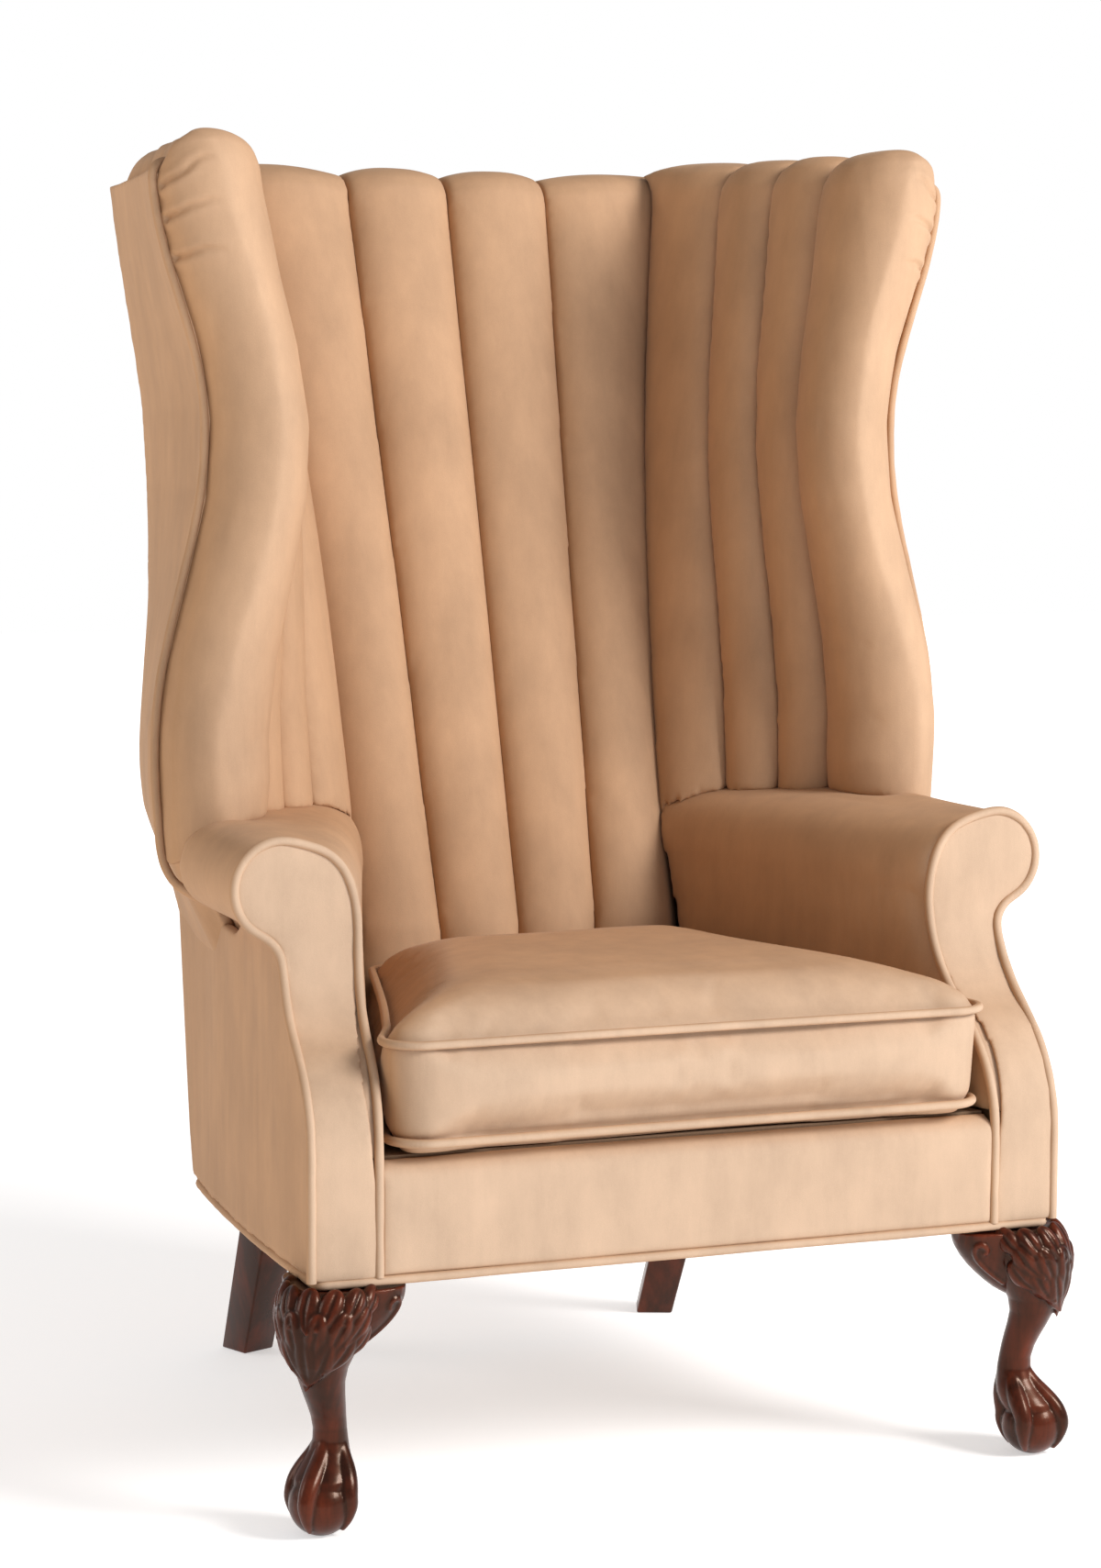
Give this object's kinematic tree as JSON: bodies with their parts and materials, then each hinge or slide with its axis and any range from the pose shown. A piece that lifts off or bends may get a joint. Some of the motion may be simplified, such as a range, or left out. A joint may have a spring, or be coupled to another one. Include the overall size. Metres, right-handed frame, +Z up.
{
  "type": "high back armchair",
  "caption": "Tall wing armchair with a vertically channelled back, scroll arms, a loose seat cushion and carved cabriole front legs, upholstered in tan velvet.",
  "frame": {"origin": "on the floor, under the middle of the chair's overall box", "axes": "+Z up, the chair's front faces -Y, +X to the right as seen from the front"},
  "size_m": [0.8662, 0.7956, 1.291],
  "materials": {
    "velvet": "brushed tan velvet, soft sheen",
    "mahogany": "dark red-brown polish, carved",
    "frame_wood": "planed, unfinished",
    "steel": "plain wire and bolts",
    "webbing": "woven jute",
    "lining": "plain cotton lining",
    "foam": "soft filling"
  },
  "bodies": {
    "chair": {"back_flute_1": "velvet", "back_flute_2": "velvet", "back_flute_3": "velvet", "back_flute_4": "velvet", "back_lower_rail": "frame_wood", "back_top_rail": "frame_wood", "back_webbing": "webbing", "base_piping": "velvet", "corner_blocks": "frame_wood", "dust_cover": "lining", "front_border": "velvet", "front_rail": "frame_wood", "knee_brackets": "mahogany", "left_arm_board": "frame_wood", "left_arm_facing": "velvet", "left_arm_pad": "velvet", "left_arm_post": "frame_wood", "left_back_panel": "frame_wood", "left_facing_piping": "velvet", "left_front_leg": "mahogany", "left_outside_arm": "velvet", "left_outside_wing": "velvet", "left_rear_leg": "mahogany", "left_side_rail": "frame_wood", "left_wing_flute_1": "velvet", "left_wing_flute_2": "velvet", "left_wing_flute_3": "velvet", "left_wing_piping": "velvet", "left_wing_rail": "frame_wood", "left_wing_roll": "velvet", "left_wing_upright": "frame_wood", "leg_bolts": "steel", "outside_back": "velvet", "rear_rail": "frame_wood", "right_arm_board": "frame_wood", "right_arm_facing": "velvet", "right_arm_pad": "velvet", "right_arm_post": "frame_wood", "right_back_panel": "frame_wood", "right_facing_piping": "velvet", "right_front_leg": "mahogany", "right_outside_arm": "velvet", "right_outside_wing": "velvet", "right_rear_leg": "mahogany", "right_side_rail": "frame_wood", "right_wing_flute_1": "velvet", "right_wing_flute_2": "velvet", "right_wing_flute_3": "velvet", "right_wing_piping": "velvet", "right_wing_rail": "frame_wood", "right_wing_roll": "velvet", "right_wing_upright": "frame_wood", "seat_deck": "lining", "seat_springs": "steel"},
    "cushion": {"cushion_bottom": "velvet", "cushion_bottom_piping": "velvet", "cushion_boxing": "velvet", "cushion_core": "foam", "cushion_top": "velvet", "cushion_top_piping": "velvet"}
  },
  "joints": [
    {"name": "cushion_lift", "type": "slide", "parent": "chair", "child": "cushion", "axis": [0, 0, 1], "range_m": [0, 0.32]}
  ]
}
